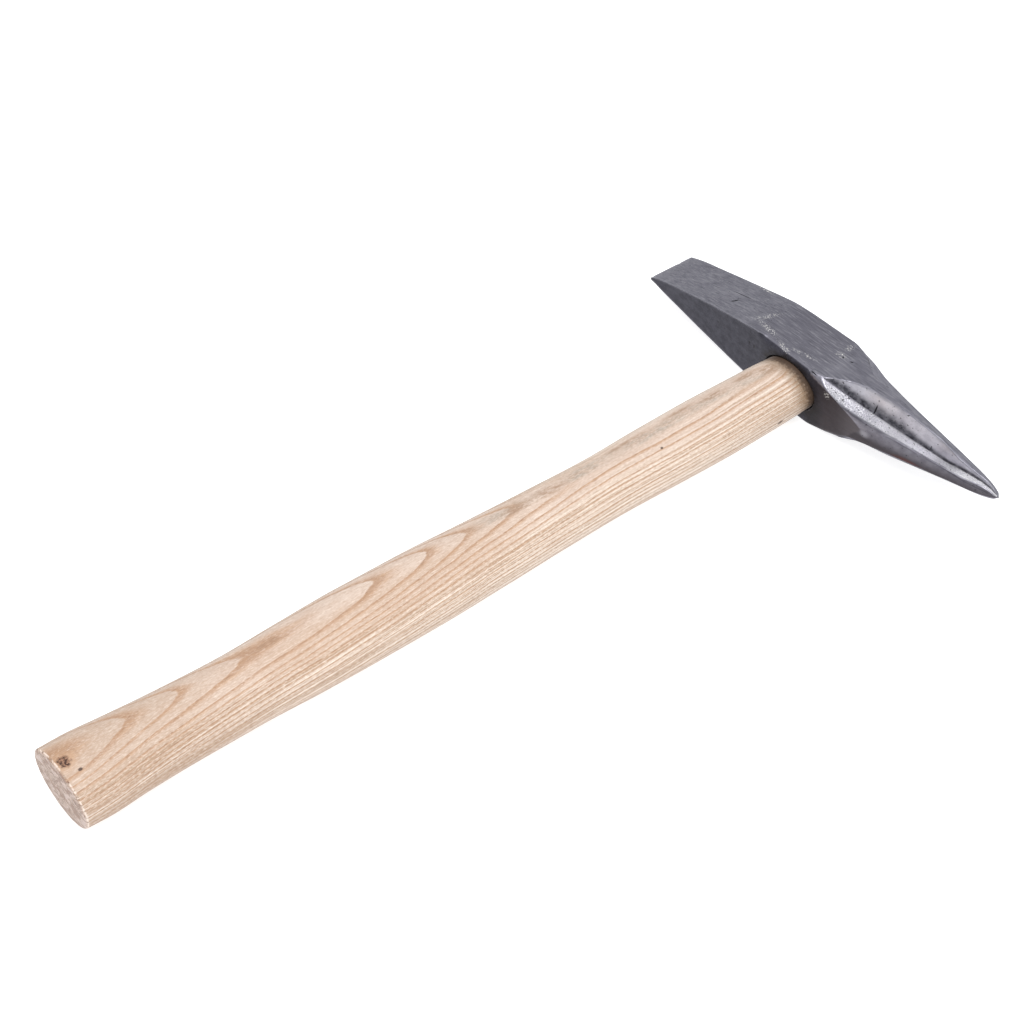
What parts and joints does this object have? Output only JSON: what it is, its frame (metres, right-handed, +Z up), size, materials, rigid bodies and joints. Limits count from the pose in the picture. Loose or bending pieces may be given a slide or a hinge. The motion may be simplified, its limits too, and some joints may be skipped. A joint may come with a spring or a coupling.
{
  "type": "chipping hammer",
  "caption": "Mason's chipping hammer: forged head with a flat chisel end and a fluted point, wedged onto a straight oval ash handle.",
  "frame": {"origin": "on the lower cheek of the head, straight under the middle of the eye", "axes": "+X along the head from the chisel edge to the point, +Y along the handle from the butt to the head, +Z up, square to the cheeks, with the hammer lying on one cheek and the butt"},
  "size_m": [0.1654, 0.3216, 0.0228],
  "materials": {
    "forged_steel": "satin ground steel over a dark forged skin, fine directional grinding marks, bright worn flutes",
    "ash_wood": "bare sanded ash, pale with tan growth rings",
    "wedge_wood": "end grain of a darker hardwood",
    "wedge_steel": "dull, hammered flush"
  },
  "bodies": {
    "root": {"head": "forged_steel", "handle": "ash_wood", "wood_wedge": "wedge_wood", "steel_wedge": "wedge_steel"}
  },
  "joints": []
}
